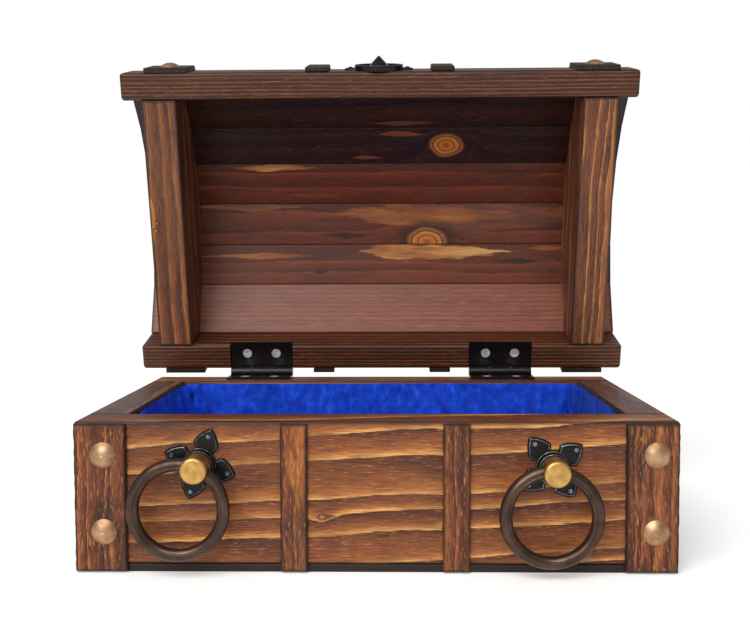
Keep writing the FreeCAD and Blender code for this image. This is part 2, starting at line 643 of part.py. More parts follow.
def leaf(label, where, level, spans, bore, head_down):
    """One hinge leaf: plate, tongues and knuckles on the given spans, bore and countersunk holes."""
    item = body(label, where)
    start = "-barrel_radius - leaf_gap"
    size = ("hinge_length", "leaf_reach - barrel_radius - leaf_gap", "leaf_thick")
    block(item, "plate", size, ("-hinge_length / 2", "-leaf_reach", level))
    for count, (first, length) in enumerate(spans):
        tongue = (length, "barrel_radius + 2 * leaf_gap", "leaf_thick")
        block(item, "tongue%d" % count, tongue, (first, start + " - leaf_gap", level))
        rod(item, "knuckle%d" % count, "barrel_radius", length, (first, "0", "0"), TO_RIGHT)
    rod(item, "bore", bore, "hinge_length", ("-hinge_length / 2", "0", "0"), TO_RIGHT, True)
    wide, tight = "screw_head + hole_slack", SCREW_HOLE
    radii = (wide, tight) if head_down else (tight, wide)
    for count, x in enumerate(SCREW_SIDES):
        sizes = {"Radius1": radii[0], "Radius2": radii[1], "Height": "leaf_thick"}
        primitive(item, "SubtractiveCone", "seat%d" % count, sizes, place(x, "-screw_in", level))
    return item


def make_hinges():
    """Two butt hinges: base leaf, lid leaf, pin and screws."""
    gap = "knuckle_length - 2 * barrel_side"
    side = "knuckle_length - barrel_side"
    middle_span = [("-knuckle_length / 2 + barrel_side", gap)]
    outer_spans = [("-hinge_length / 2", side), ("knuckle_length / 2 + barrel_side", side)]
    for hand, mid in HINGES.items():
        home = place(mid, "hinge_y", "hinge_z")
        swung = place(mid, "hinge_y", "hinge_z", LID_TURN)
        loose = "barrel_pin + barrel_run"
        upper = "barrel_radius - leaf_thick"
        leaf("%s_hinge_base_leaf" % hand, home, "-barrel_radius", middle_span, loose, False)
        leaf("%s_hinge_lid_leaf" % hand, swung, upper, outer_spans, "barrel_pin", True)
        pin = body("%s_hinge_pin" % hand, swung)
        rod(pin, "rod", "barrel_pin", "hinge_length", ("-hinge_length / 2", "0", "0"), TO_RIGHT)

    screw = body("hinge_screw", place("0", "0", "0"), False)
    rod(screw, "stem", "screw_stem", "screw_reach", ("0", "0", "-screw_reach"))
    cone = {"Radius1": "screw_stem", "Radius2": "screw_head", "Height": "leaf_thick"}
    primitive(screw, "AdditiveCone", "head", cone, place("0", "0", "-leaf_thick"))
    across = ("2 * cross_half", "cross_wide", "cross_deep")
    along = ("cross_wide", "2 * cross_half", "cross_deep")
    block(screw, "slot_across", across, ("-cross_half", "-cross_wide / 2", "-cross_deep"), True)
    block(screw, "slot_along", along, ("-cross_wide / 2", "-cross_half", "-cross_deep"), True)
    spots = [mid + " + " + at for mid in HINGES.values() for at in SCREW_SIDES]
    seat = "hinge_z - barrel_radius + leaf_thick"
    group("hinge_base_screws", screw, [place(x, "hinge_y - screw_in", seat) for x in spots])
    flipped = ("-1; 0; 0", "lid_open - 180")
    low = "barrel_radius - leaf_thick"
    group("hinge_lid_screws", screw, [lid_place(x, "-screw_in", low, flipped) for x in spots])


def make_lining():
    """Velvet lining panels on the walls and the floor of the base."""
    half_x = "box_width / 2 - wall_side - cloth_gap"
    half_y = "box_depth / 2 - wall_long - cloth_gap"
    low = "floor_thick + 2 * cloth_gap + cloth_thick"
    tall = "box_height - cloth_drop - (%s)" % low
    floor = body("lining_floor", place("0", "0", "floor_thick + cloth_gap"))
    block(floor, "cloth", ("2 * (%s)" % half_x, "2 * (%s)" % half_y, "cloth_thick"),
          ("-(%s)" % half_x, "-(%s)" % half_y, "0"))
    for name, y in (("front", "-(%s)" % half_y), ("back", "%s - cloth_thick" % half_y)):
        panel = body("lining_" + name, place("0", y, low))
        size = ("2 * (%s)" % half_x, "cloth_thick", tall)
        block(panel, "cloth", size, ("-(%s)" % half_x, "0", "0"))
    inner = "2 * (%s - cloth_thick - cloth_gap)" % half_y
    for name, x in (("left", "-(%s)" % half_x), ("right", "%s - cloth_thick" % half_x)):
        panel = body("lining_" + name, place(x, "-%s / 2" % inner, low))
        block(panel, "cloth", ("cloth_thick", inner, tall), ("0", "0", "0"))


make_base_boards()
make_base_straps()
make_nails()
make_pulls()
make_lid_wood()
make_crest()
make_hinges()
make_lining()
doc.recompute()

for item in doc.Objects:
    if "Invalid" in item.State or "Error" in item.State:
        raise RuntimeError(item.Label + " did not recompute: " + str(item.State))

os.makedirs("parts", exist_ok=True)
for item in parts:
    if item.Shape.isNull() or not item.Shape.isValid() or not item.Shape.Solids:
        raise RuntimeError(item.Label + " has no valid solid")
    item.Shape.exportStep("parts/%s.step" % item.Label)
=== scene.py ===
"""Looks of the burnt pine chest: wood, velvet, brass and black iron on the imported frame."""

import logging
import math
from dataclasses import dataclass, replace
from enum import Enum
from typing import Optional, Union

import bmesh
import bpy
from mathutils import Matrix, Vector, noise


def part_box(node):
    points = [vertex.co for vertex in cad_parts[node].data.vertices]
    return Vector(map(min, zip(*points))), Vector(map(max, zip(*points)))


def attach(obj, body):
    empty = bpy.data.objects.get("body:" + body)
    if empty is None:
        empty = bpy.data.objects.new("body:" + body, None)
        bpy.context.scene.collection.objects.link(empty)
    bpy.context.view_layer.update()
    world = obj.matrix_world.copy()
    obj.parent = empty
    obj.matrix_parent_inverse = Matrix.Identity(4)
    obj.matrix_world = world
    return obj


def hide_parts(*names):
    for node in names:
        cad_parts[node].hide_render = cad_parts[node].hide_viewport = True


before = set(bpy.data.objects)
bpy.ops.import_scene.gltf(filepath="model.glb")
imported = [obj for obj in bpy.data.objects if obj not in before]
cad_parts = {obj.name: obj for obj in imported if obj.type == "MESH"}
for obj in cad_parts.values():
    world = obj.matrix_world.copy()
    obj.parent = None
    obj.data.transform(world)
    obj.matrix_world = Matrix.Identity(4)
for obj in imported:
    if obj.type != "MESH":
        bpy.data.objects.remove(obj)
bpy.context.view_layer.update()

LOG = logging.getLogger("chest")
MM = 0.001
LID_OPEN = math.radians(76.0)
HINGE_AXIS = (0.0, 0.09425, 0.0789)
MIDDLE = (0.0, 0.0, 0.0)
X, Y, Z = 0, 1, 2
SIDES = ("left", "right")
STRAPS = ("left_end", "left_middle", "right_middle", "right_end")
Socket = bpy.types.NodeSocket
Stops = tuple[tuple[float, str], ...]
Span = tuple[float, float]
Point = tuple[float, float, float]
# sockets of a Map Range node, of a Mix node that blends colours, and settings that they share
FROM, TO = ("From Min", "From Max"), ("To Min", "To Max")
SHARE, UNDER, OVER = 0, 6, 7
BLEND = {"data_type": "RGBA", "out": 2}
SMOOTH = {"interpolation_type": "SMOOTHSTEP"}
# nearly all of a random tone lies in this part of its range
TONE: Span = (0.3, 0.7)
# how far one step of a board's seed moves its random tones and its years
SEED_STEP: Point = (37.0, 91.0, 53.0)
YEAR_STEP = 7.3


def linear(code: str) -> tuple[float, float, float, float]:
    """Turn an sRGB hex colour into linear light.

    Args:
        code: colour as "#RRGGBB".

    Returns:
        Red, green, blue and a full alpha.
    """
    parts = [int(code[at:at + 2], 16) / 255 for at in (1, 3, 5)]
    light = [c / 12.92 if c <= 0.04045 else ((c + 0.055) / 1.055) ** 2.4 for c in parts]
    return (light[0], light[1], light[2], 1.0)


class Graph:
    """Node tree of one finish or of the sky."""

    def __init__(self, owner: Union[bpy.types.Material, bpy.types.World]) -> None:
        """Start an empty tree on its owner.

        Args:
            owner: material or world that the tree belongs to.
        """
        self.owner = owner
        owner.use_nodes = True
        self.tree = owner.node_tree
        self.tree.nodes.clear()

    def add(self, kind: str, inputs: Optional[dict[Union[int, str, tuple], object]] = None,
            out: Union[int, str] = 0, stops: Stops = (), **settings: object) -> Optional[Socket]:
        """Add a node with its settings and links.

        Args:
            kind: node type without its common prefix.
            inputs: socket name or index to a constant or to the socket that feeds it, or
                several names to as many of these.
            out: output to return.
            stops: places and hex colours of a ramp.
            settings: properties of the node.

        Returns:
            The chosen output socket, or None for an end node.
        """
        made = self.tree.nodes.new("ShaderNode" + kind)
        for key, value in settings.items():
            setattr(made, key, value)
        for key, value in (inputs or {}).items():
            for name, given in zip(key, value) if isinstance(key, tuple) else ((key, value),):
                if isinstance(given, Socket):
                    self.tree.links.new(given, made.inputs[name])
                else:
                    made.inputs[name].default_value = given
        if stops:
            marks = made.color_ramp.elements
            marks.remove(marks[-1])
            marks[0].position = stops[0][0]
            marks[0].color = linear(stops[0][1])
            for place, code in stops[1:]:
                marks.new(place).color = linear(code)
        return made.outputs[out] if made.outputs else None


@dataclass(frozen=True)
class Lay:
    """How a board lies: the turn of its own frame and the axes of its grain."""

    along: int
    across: int
    tilt: float = 0.0
    origin: Point = MIDDLE

    def box(self, node: str) -> tuple[Vector, Vector]:
        """Corners of a node in the board's own frame.

        Args:
            node: name of the CAD node.

        Returns:
            Lowest and highest corner in millimetres.
        """
        turn = Matrix.Rotation(-self.tilt, 3, "X")
        spots = [turn @ (v.co - Vector(self.origin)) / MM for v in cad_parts[node].data.vertices]
        low = Vector([min(s[axis] for s in spots) for axis in (X, Y, Z)])
        high = Vector([max(s[axis] for s in spots) for axis in (X, Y, Z)])
        return low, high


@dataclass(frozen=True)
class Grain:
    """Place on a board in millimetres from its middle, in its own frame and by its grain."""

    own: Socket
    place: Socket
    along: Socket
    across: Socket
    depth: Socket


class Tone(Enum):
    """Colours of a patch that stands out from its board."""

    PALE = ((0.34, "#D8A260"), (0.48, "#BC7E40"), (0.62, "#95562A"))
    ORANGE = ((0.34, "#A8662F"), (0.5, "#8E4F25"), (0.66, "#6E3A1E"))
    RUST = ((0.34, "#82462A"), (0.5, "#6E3A24"), (0.66, "#58301F"))
    SOOT = ((0.34, "#2C1B16"), (0.66, "#1C120F"))


@dataclass(frozen=True)
class Knot:
    """A knot on a board's face, in millimetres from the board's middle.

    Its halo, its rim and the reach of the grain that it pushes aside are shares of its radius.
    """

    along: float
    across: float
    radius: float
    push: float = 1.4
    swell: float = 2.2
    squash: float = 0.78
    lumps: float = 0.8
    uneven: float = 0.35
    rim: Span = (0.96, 1.04)
    halo: Span = (1.0, 1.7)
    halo_share: float = 0.8
    halo_char: str = "#2E1810"


@dataclass(frozen=True)
class Flame:
    """A pointed lens of another tone with a torn rim, in millimetres from the board's middle."""

    along: float
    across: float
    before: float
    beyond: float
    half_width: float
    tone: Tone = Tone.PALE
    strength: float = 0.85
    point: float = 1.2
    wander: float = 0.9
    fray: float = 0.35
    tear: float = 1.5
    tear_long: float = 22.0
    tear_wide: float = 3.2
    rim: Span = (2.16, 2.4)


STREAKS = ((0.0, "#421E11"), (0.1, "#582C18"), (0.34, "#743E20"), (0.56, "#8A4D26"), (0.74, "#A86632"),
           (0.86, "#CA8C4A"), (0.95, "#DEA862"), (0.985, "#A26634"), (1.0, "#421E11"))
SHADED = ((0.0, "#4A1E0C"), (0.3, "#5A2611"), (0.7, "#6A2E15"), (0.92, "#7C3A1B"), (1.0, "#4A1E0C"))
DARKEST = ((0.0, "#22120C"), (0.4, "#2E1710"), (0.8, "#3C1F13"), (1.0, "#22120C"))
MAUVE = ((0.0, "#6A3220"), (0.4, "#783C26"), (0.75, "#84452C"), (0.93, "#925438"), (1.0, "#6A3220"))
ROUGH = ((0.0, "#42200F"), (0.3, "#60301A"), (0.65, "#7C4224"), (0.9, "#A26032"), (1.0, "#42200F"))
FINE = ((0.0, "#2A120A"), (0.45, "#401E10"), (0.72, "#582C16"), (0.88, "#8A5228"), (0.95, "#643618"),
        (1.0, "#2A120A"))
LINED = ((0.0, "#5A3020"), (0.4, "#6C3C26"), (0.66, "#7C482C"), (0.8, "#AC6C34"), (0.9, "#CC924E"),
         (0.96, "#84502A"), (1.0, "#5A3020"))
BANDED = ((0.0, "#452620"), (0.25, "#583122"), (0.5, "#6C3A22"), (0.78, "#8A4E28"), (0.9, "#A26430"),
          (1.0, "#452620"))
DULL = ((0.0, "#472A21"), (0.4, "#5A382B"), (0.75, "#6C4535"), (0.93, "#875B45"), (1.0, "#472A21"))
KNOT_RINGS = ((0.0, "#7A360F"), (0.16, "#AE5C1E"), (0.34, "#C4742E"), (0.43, "#7A3C16"), (0.5, "#B4682A"),
              (0.64, "#C07C3A"), (0.71, "#45200F"), (0.8, "#A2602C"), (0.9, "#74401E"), (1.0, "#2C1710"))


@dataclass(frozen=True)
class Pine:
    """Pine, scorched with a flame, brushed and waxed.

    The hard late wood of each year stays dark with a crisp edge, the soft early wood is
    brushed back to pale orange, fibres show as fine lines and flecks, and the arrises are charred.
    Fibres are drawn coarser than their real 0.04 mm, so that they show. Lengths are in millimetres,
    and a span is the part of a random tone over which it takes hold.
    """

    name: str
    ramp: Stops = STREAKS
    plain: str = "#74401F"
    spacing: float = 12.5
    slope: float = 0.0
    sway: float = 10.0
    sway_long: float = 110.0
    sway_wide: float = 34.0
    ragged: float = 2.0
    ragged_long: float = 8.0
    ragged_wide: float = 0.8
    through: float = 0.4
    uneven: float = 1.7
    fade: float = 0.65
    fade_long: float = 85.0
    fade_wide: float = 14.0
    fade_span: Span = (0.36, 0.6)
    fibre_long: float = 13.0
    fibre_wide: float = 0.5
    fibre_depth: float = 0.4
    fibre_span: Span = (0.34, 0.66)
    hollow: float = 1.3
    crown: float = 0.8
    fleck: float = 0.4
    fleck_long: float = 6.0
    fleck_wide: float = 0.5
    pale_fleck: str = "#CF9258"
    pale_span: Span = (0.6, 0.74)
    dark_fleck: str = "#2C1912"
    dark_span: Span = (0.27, 0.39)
    scorch: float = 0.5
    scorch_long: float = 60.0
    scorch_wide: float = 15.0
    scorch_span: Span = (0.48, 0.7)
    soot: str = "#3E2118"
    edge: float = 1.2
    edge_fray: float = 2.4
    edge_full: float = -0.8
    edge_end: float = 0.3
    edge_share: float = 0.9
    tip_span: Span = (0.2, 1.0)
    tip_share: float = 0.75
    char: str = "#1F1410"
    relief: float = 0.25
    year_rise: float = 0.3
    rough: float = 0.46
    dry: float = 0.1
    waxed: float = 0.08
    coat: float = 0.1
    seed: float = 0.0
    knots: tuple[Knot, ...] = ()
    flames: tuple[Flame, ...] = ()

    def material(self, lay: Lay, low: Vector, high: Vector) -> bpy.types.Material:
        """Make the finish for one board.

        Args:
            lay: how the board lies.
            low: lowest corner of the board in its own frame, in millimetres.
            high: highest corner.

        Returns:
            The material.
        """
        g = Graph(bpy.data.materials.new(self.name))
        grain = self.lay_out(g, lay, (low + high) / 2)
        sway = self.streak(g, grain, self.sway_long, self.sway_wide, detail=1.5)
        fibre = self.streak(g, grain, self.fibre_long, self.fibre_wide, detail=4.0)
        patch = self.streak(g, grain, self.scorch_long, self.scorch_wide, detail=3.0)
        reaches = [(knot, self.reach(g, grain, knot, sway)) for knot in self.knots]
        year = self.year(g, grain, sway, reaches)
        colour = self.tint(g, grain, year, patch)
        for flame in self.flames:
            colour = self.lick(g, grain, flame, sway, fibre, patch, colour)
        for knot, reach in reaches:
            colour = self.knot_rings(g, knot, reach, colour)
        colour = self.brush(g, grain, fibre, colour)
        colour = self.burn_edges(g, grain, lay, (high - low) / 2, fibre, colour)
        gloss = g.add("MapRange", {"Value": fibre, FROM: TONE,
                                   TO: (self.rough + self.dry, self.rough - self.waxed)})
        height = g.add("Math", {0: year, 1: self.year_rise, 2: fibre}, operation="MULTIPLY_ADD")
        bump = g.add("Bump", {"Strength": 0.8, "Distance": self.relief * MM, "Height": height})
        shader = g.add("BsdfPrincipled", {"Base Color": colour, "Roughness": gloss, "Normal": bump,
                                          "IOR": 1.5, "Specular IOR Level": 0.25,
                                          "Coat Weight": self.coat, "Coat Roughness": 0.28})
        g.add("OutputMaterial", {"Surface": shader})
        return g.owner

    def lay_out(self, g: Graph, lay: Lay, middle: Vector) -> Grain:
        """Measure a board along and across its grain.

        Args:
            g: tree of the finish.
            lay: how the board lies.
            middle: middle of the board in its own frame.

        Returns:
            The board's own places.
        """
        place = g.add("TexCoord", out="Object")
        turned = g.add("Mapping", {"Vector": place, "Location": lay.origin,
                                   "Rotation": (lay.tilt, 0.0, 0.0), "Scale": (MM, MM, MM)},
                       vector_type="TEXTURE")
        own = g.add("VectorMath", {0: turned, 1: middle}, operation="SUBTRACT")
        parts = g.add("SeparateXYZ", {0: own}).node.outputs
        along, across = parts[lay.along], parts[lay.across]
        depth = parts[X + Y + Z - lay.along - lay.across]
        return Grain(own, g.add("CombineXYZ", {0: along, 1: across, 2: depth}), along, across, depth)

    def streak(self, g: Graph, grain: Grain, long: float, wide: float, detail: float) -> Socket:
        """Draw a random tone out along the grain.

        Args:
            g: tree of the finish.
            grain: the board's own places.
            long: length of a streak.
            wide: width of a streak.
            detail: levels of finer streaks within it.

        Returns:
            The tone, about one half.
        """
        shift = tuple(step * self.seed for step in SEED_STEP)
        drawn = g.add("VectorMath", {0: grain.place, 1: (1 / long, 1 / wide, 1 / wide), 2: shift},
                      operation="MULTIPLY_ADD")
        return g.add("TexNoise", {"Vector": drawn, "Scale": 1.0, "Detail": detail, "Roughness": 0.58})

    def reach(self, g: Graph, grain: Grain, knot: Knot, sway: Socket) -> Socket:
        """Measure how far a place is from a knot.

        Args:
            g: tree of the finish.
            grain: the board's own places.
            knot: the knot.
            sway: slow wander of the grain.

        Returns:
            The way to the knot, as a share of its uneven radius.
        """
        away = g.add("VectorMath", {0: grain.place, 1: (knot.along, knot.across, 0.0)},
                     operation="SUBTRACT")
        flat = g.add("VectorMath", {0: away, 1: (knot.squash / knot.radius, 1 / knot.radius, 0.0)},
                     operation="MULTIPLY")
        far = g.add("VectorMath", {0: flat}, out="Value", operation="LENGTH")
        ring = g.add("VectorMath", {0: flat}, operation="NORMALIZE")
        lumps = g.add("TexNoise", {"Vector": ring, "Scale": knot.lumps, "Detail": 0.0})
        uneven = g.add("Math", {0: lumps, 1: sway}, operation="ADD")
        uneven = g.add("Math", {0: uneven, 1: knot.uneven, 2: 1 - knot.uneven}, operation="MULTIPLY_ADD")
        return g.add("Math", {0: far, 1: uneven}, operation="MULTIPLY")

    def year(self, g: Graph, grain: Grain, sway: Socket, reaches: list[tuple[Knot, Socket]]) -> Socket:
        """Count the years across a board.

        Args:
            g: tree of the finish.
            grain: the board's own places.
            sway: slow wander of the grain.
            reaches: knots that push the grain aside, with the way to each.

        Returns:
            Part of a year, from its dark edge at 0 to its pale one at 1.
        """
        tear = self.streak(g, grain, self.ragged_long, self.ragged_wide, detail=2.0)
        across = g.add("Math", {0: grain.along, 1: self.slope, 2: grain.across}, operation="MULTIPLY_ADD")
        across = g.add("Math", {0: grain.depth, 1: self.through, 2: across}, operation="MULTIPLY_ADD")
        across = g.add("Math", {0: sway, 1: self.sway, 2: across}, operation="MULTIPLY_ADD")
        across = g.add("Math", {0: tear, 1: self.ragged, 2: across}, operation="MULTIPLY_ADD")
        for knot, reach in reaches:
            swell = g.add("MapRange", {"Value": reach, FROM: (0.0, knot.swell * knot.push),
                                       TO: (knot.push * knot.radius, 0.0)}, **SMOOTH)
            across = g.add("Math", {0: across, 1: swell}, operation="ADD")
        count = g.add("Math", {0: across, 1: -1.0 / self.spacing, 2: YEAR_STEP * self.seed},
                      operation="MULTIPLY_ADD")
        bend = g.add("TexNoise", {"W": count, "Scale": 0.6, "Detail": 1.0}, noise_dimensions="1D")
        count = g.add("Math", {0: bend, 1: self.uneven, 2: count}, operation="MULTIPLY_ADD")
        return g.add("Math", {0: count}, operation="FRACT")

    def tint(self, g: Graph, grain: Grain, year: Socket, patch: Socket) -> Socket:
        """Colour the years, fading in and out along the board, under smoky patches.

        Args:
            g: tree of the finish.
            grain: the board's own places.
            year: part of a year.
            patch: tone of the smoky patches.

        Returns:
            The colour.
        """
        colour = g.add("ValToRGB", {0: year}, stops=self.ramp)
        weak = self.streak(g, grain, self.fade_long, self.fade_wide, detail=2.0)
        strength = g.add("MapRange", {"Value": weak, FROM: self.fade_span,
                                      TO: (1.0 - self.fade, 1.0)}, **SMOOTH)
        colour = g.add("Mix", {SHARE: strength, UNDER: linear(self.plain), OVER: colour}, **BLEND)
        smoke = g.add("MapRange", {"Value": patch, FROM: self.scorch_span,
                                   TO: (0.0, self.scorch)}, **SMOOTH)
        return g.add("Mix", {SHARE: smoke, UNDER: colour, OVER: linear(self.soot)}, **BLEND)

    def lick(self, g: Graph, grain: Grain, flame: Flame, sway: Socket, fibre: Socket, patch: Socket,
             colour: Socket) -> Socket:
        """Lay a pointed lens of another tone on the board.

        Args:
            g: tree of the finish.
            grain: the board's own places.
            flame: the lens.
            sway: slow wander of the grain.
            fibre: tone of the fibres, which frays the edge.
            patch: tone of the smoky patches, which varies the colour.
            colour: the colour so far.

        Returns:
            The colour.
        """
        along = g.add("Math", {0: grain.along, 1: flame.along}, operation="SUBTRACT")
        across = g.add("Math", {0: grain.across, 1: flame.across}, operation="SUBTRACT")
        side = g.add("Math", {0: across}, operation="ABSOLUTE")
        before = g.add("Math", {0: along, 1: -flame.before}, operation="DIVIDE")
        beyond = g.add("Math", {0: along, 1: flame.beyond}, operation="DIVIDE")
        end = g.add("Math", {0: before, 1: beyond}, operation="MAXIMUM")
        end = g.add("Math", {0: end, 1: flame.point}, operation="POWER")
        lens = g.add("Math", {0: side, 1: 1 / flame.half_width, 2: end}, operation="MULTIPLY_ADD")
        lens = g.add("Math", {0: sway, 1: flame.wander, 2: lens}, operation="MULTIPLY_ADD")
        lens = g.add("Math", {0: fibre, 1: flame.fray, 2: lens}, operation="MULTIPLY_ADD")
        tear = self.streak(g, grain, flame.tear_long, flame.tear_wide, detail=3.0)
        lens = g.add("Math", {0: tear, 1: flame.tear, 2: lens}, operation="MULTIPLY_ADD")
        mask = g.add("MapRange", {"Value": lens, FROM: flame.rim, TO: (flame.strength, 0.0)}, **SMOOTH)
        tone = g.add("ValToRGB", {0: patch}, stops=flame.tone.value)
        return g.add("Mix", {SHARE: mask, UNDER: colour, OVER: tone}, **BLEND)

    def knot_rings(self, g: Graph, knot: Knot, reach: Socket, colour: Socket) -> Socket:
        """Draw a knot's rings and the dark wood round it.

        Args:
            g: tree of the finish.
            knot: the knot.
            reach: way to the knot as a share of its radius.
            colour: the colour so far.

        Returns:
            The colour.
        """
        halo = g.add("MapRange", {"Value": reach, FROM: knot.halo, TO: (knot.halo_share, 0.0)}, **SMOOTH)
        colour = g.add("Mix", {SHARE: halo, UNDER: colour, OVER: linear(knot.halo_char)}, **BLEND)
        rings = g.add("ValToRGB", {0: reach}, stops=KNOT_RINGS)
        inside = g.add("MapRange", {"Value": reach, FROM: knot.rim, TO: (1.0, 0.0)}, **SMOOTH)
        return g.add("Mix", {SHARE: inside, UNDER: colour, OVER: rings}, **BLEND)

    def brush(self, g: Graph, grain: Grain, fibre: Socket, colour: Socket) -> Socket:
        """Show the brushed fibres, with short pale and dark flecks.

        Args:
            g: tree of the finish.
            grain: the board's own places.
            fibre: tone of the fibres.
            colour: the colour so far.

        Returns:
            The colour.
        """
        shade = g.add("MapRange", {"Value": fibre, FROM: self.fibre_span,
                                   TO: (1.0 - self.hollow * self.fibre_depth,
                                        1.0 + self.crown * self.fibre_depth)})
        colour = g.add("Mix", {SHARE: 1.0, UNDER: colour, OVER: shade}, **BLEND, blend_type="MULTIPLY")
        fleck = self.streak(g, grain, self.fleck_long, self.fleck_wide, detail=1.0)
        pale = g.add("MapRange", {"Value": fleck, FROM: self.pale_span, TO: (0.0, self.fleck)}, **SMOOTH)
        colour = g.add("Mix", {SHARE: pale, UNDER: colour, OVER: linear(self.pale_fleck)}, **BLEND)
        dark = g.add("MapRange", {"Value": fleck, FROM: self.dark_span, TO: (self.fleck, 0.0)}, **SMOOTH)
        return g.add("Mix", {SHARE: dark, UNDER: colour, OVER: linear(self.dark_fleck)}, **BLEND)

    def burn_edges(self, g: Graph, grain: Grain, lay: Lay, half: Vector, fibre: Socket,
                   colour: Socket) -> Socket:
        """Char the arrises of a board, unevenly, and its end grain.

        Args:
            g: tree of the finish.
            grain: the board's own places.
            lay: how the board lies.
            half: half of the board's size.
            fibre: tone of the fibres, which frays the charred line.
            colour: the colour so far.

        Returns:
            The colour.
        """
        inset = g.add("VectorMath", {0: grain.own}, operation="ABSOLUTE")
        inset = g.add("VectorMath", {0: half, 1: inset}, operation="SUBTRACT")
        ways = g.add("SeparateXYZ", {0: inset}).node.outputs
        lesser = g.add("Math", {0: ways[0], 1: ways[1]}, operation="MINIMUM")
        greater = g.add("Math", {0: ways[0], 1: ways[1]}, operation="MAXIMUM")
        nearer = g.add("Math", {0: greater, 1: ways[2]}, operation="MINIMUM")
        way = g.add("Math", {0: lesser, 1: nearer}, operation="MAXIMUM")
        frayed = g.add("Math", {0: fibre, 1: -self.edge_fray * self.edge, 2: way}, operation="MULTIPLY_ADD")
        burnt = g.add("MapRange", {"Value": frayed, TO: (self.edge_share, 0.0),
                                   FROM: (self.edge_full * self.edge, self.edge_end * self.edge)}, **SMOOTH)
        tip = g.add("MapRange", {"Value": ways[lay.along], FROM: self.tip_span,
                                 TO: (self.tip_share, 0.0)}, **SMOOTH)
        burnt = g.add("Math", {0: burnt, 1: tip}, operation="MAXIMUM")
        return g.add("Mix", {SHARE: burnt, UNDER: colour, OVER: linear(self.char)}, **BLEND)


@dataclass(frozen=True)
class Velvet:
    """Royal blue crushed velvet.

    Short dyed pile is pressed flat in patches, so it swings between deep and bright blue and
    glows where the pile is seen side on. The colour also carries painted light and shade: faces
    turned one fixed way are painted lighter and faces turned the other way darker, so a fold is
    pale on one flank and deep on the other. The pile is drawn coarser than its real 0.1 mm.
    Lengths are in millimetres.
    """

    name: str = "crushed_velvet_royal_blue"
    patch: float = 5.0
    pile: float = 0.6
    drawn: Point = (1.0, 1.0, 0.7)
    # way of the painted light, and how dark to how light it paints faces turned from it to towards it
    painted_light_way: Point = (0.9, 0.1, 0.3)
    painted_facing_shade: Span = (0.55, 1.5)
    tones: Stops = ((0.28, "#0B2A92"), (0.45, "#0F39AE"), (0.58, "#1344C0"), (0.76, "#2A5CDA"))
    relief: float = 0.5
    crush_rise: float = 4.0

    def material(self) -> bpy.types.Material:
        """Make the finish on the cloth's place in the frame.

        Returns:
            The material.
        """
        g = Graph(bpy.data.materials.new(self.name))
        place = g.add("TexCoord", out="Object")
        hung = g.add("VectorMath", {0: place, 1: self.drawn}, operation="MULTIPLY")
        crush = g.add("TexNoise", {"Vector": hung, "Scale": 1 / (self.patch * MM), "Detail": 4.0,
                                   "Roughness": 0.55, "Distortion": 0.2})
        colour = g.add("ValToRGB", {0: crush}, stops=self.tones)
        # painted light and shade: colour scaled up on faces turned along one fixed direction, down on faces
        # turned away
        facing = g.add("TexCoord", out="Normal")
        painted_light = g.add("VectorMath", {0: facing, 1: self.painted_light_way}, out="Value", operation="DOT_PRODUCT")
        shade = g.add("MapRange", {"Value": painted_light, FROM: (-1.0, 1.0), TO: self.painted_facing_shade})
        colour = g.add("Mix", {SHARE: 1.0, UNDER: colour, OVER: shade}, **BLEND, blend_type="MULTIPLY")
        pile = g.add("TexNoise", {"Vector": place, "Scale": 1 / (self.pile * MM), "Detail": 2.0})
        height = g.add("Math", {0: crush, 1: self.crush_rise, 2: pile}, operation="MULTIPLY_ADD")
        bump = g.add("Bump", {"Strength": 0.5, "Distance": self.relief * MM, "Height": height})
        shader = g.add("BsdfPrincipled", {"Base Color": colour, "Roughness": 0.85, "Normal": bump,
                                          "Specular IOR Level": 0.15, "Sheen Weight": 0.35,
                                          "Sheen Roughness": 0.4, "Sheen Tint": linear("#5A86FF")})
        g.add("OutputMaterial", {"Surface": shader})
        return g.owner


@dataclass(frozen=True)
class Metal:
    """A metal with a patina: two tones in patches, a finely pitted skin and an uneven gloss.

    The pits are drawn coarser than real ones, so that they show. Lengths are in millimetres.
    """

    name: str
    light: str
    dark: str
    metallic: float = 1.0
    rough: float = 0.35
    patch: float = 5.0
    dent: float = 0.12
    grain: float = 0.6
    shine: float = 0.5
    patina: Span = (0.36, 0.62)
    patch_rise: float = 2.0
    dulled: float = 0.12
    rubbed: float = 0.06

    def material(self) -> bpy.types.Material:
        """Make the finish, or give the one already made.

        Returns:
            The material.
        """
        made = bpy.data.materials.get(self.name)
        if made:
            return made
        g = Graph(bpy.data.materials.new(self.name))
        place = g.add("TexCoord", out="Object")
        tone = g.add("TexNoise", {"Vector": place, "Scale": 1 / (self.patch * MM), "Detail": 4.0,
                                  "Roughness": 0.6})
        colour = g.add("ValToRGB", {0: tone}, stops=tuple(zip(self.patina, (self.dark, self.light))))
        fine = g.add("TexNoise", {"Vector": place, "Scale": 1 / (self.grain * MM), "Detail": 3.0})
        gloss = g.add("MapRange", {"Value": tone, FROM: TONE,
                                   TO: (self.rough + self.dulled, self.rough - self.rubbed)})
        height = g.add("Math", {0: tone, 1: self.patch_rise, 2: fine}, operation="MULTIPLY_ADD")
        bump = g.add("Bump", {"Strength": 0.5, "Distance": self.dent * MM, "Height": height})
        shader = g.add("BsdfPrincipled", {"Base Color": colour, "Metallic": self.metallic,
                                          "Roughness": gloss, "Normal": bump,
                                          "Specular IOR Level": self.shine})
        g.add("OutputMaterial", {"Surface": shader})
        return g.owner


